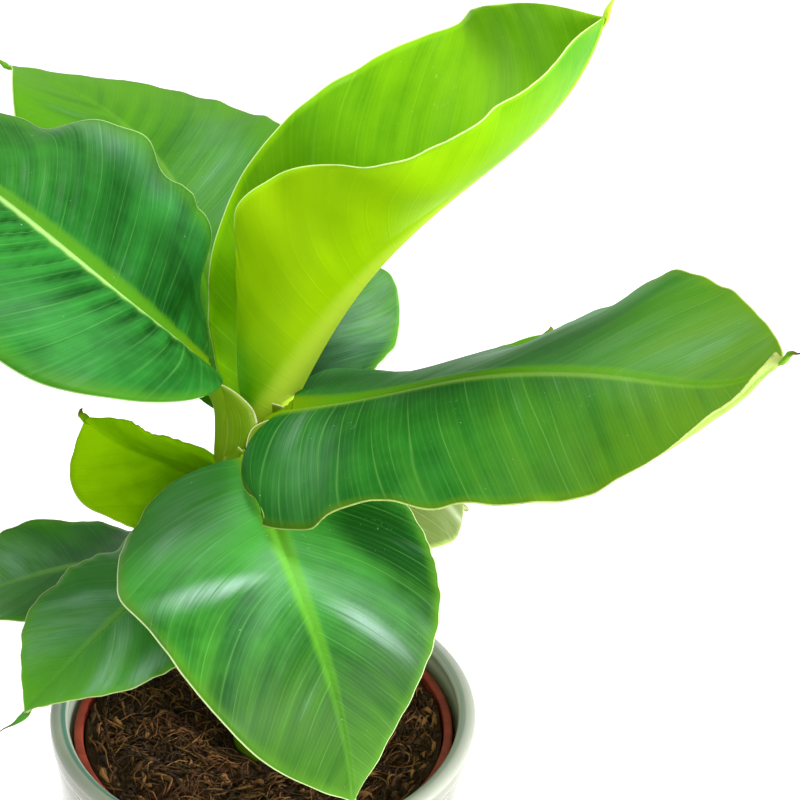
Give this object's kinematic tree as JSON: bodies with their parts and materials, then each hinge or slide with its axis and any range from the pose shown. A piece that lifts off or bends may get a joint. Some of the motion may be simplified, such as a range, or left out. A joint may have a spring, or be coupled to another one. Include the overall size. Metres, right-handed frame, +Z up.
{
  "type": "potted banana plant",
  "caption": "Young banana plant with a leafy upright stem and broad arching leaves, rooted in soil in a nursery pot that stands inside a round glazed pot.",
  "frame": {"origin": "middle of the flat underside of the glazed pot", "axes": "+Z up along the stem, +X to the right and -Y to the front, from where the young leaf leans right and the drooping leaf hangs forward"},
  "size_m": [0.4088, 0.356, 0.5129],
  "materials": {
    "glaze": "glossy pale grey-green glaze",
    "nursery_plastic": "matt terracotta-coloured plastic",
    "soil": "dark brown coconut fibre and peat",
    "stem": "smooth yellow-green leaf sheaths with pale edges",
    "young_leaf": "soft bright yellow-green leaf",
    "leaf": "satin deep green leaf with a pale midrib",
    "old_leaf": "satin bluish-green leaf",
    "pale_leaf": "satin olive-green leaf"
  },
  "bodies": {
    "root": {"ceramic_pot": "glaze", "nursery_pot": "nursery_plastic", "soil": "soil", "stem": "stem", "young_leaf": "young_leaf", "right_leaf": "leaf", "left_leaf": "leaf", "back_left_leaf": "leaf", "front_leaf": "leaf", "back_right_leaf": "old_leaf", "small_left_leaf": "pale_leaf", "low_left_leaf": "old_leaf", "low_front_left_leaf": "old_leaf", "low_right_leaf": "pale_leaf", "hidden_right_leaf": "leaf"}
  },
  "joints": []
}
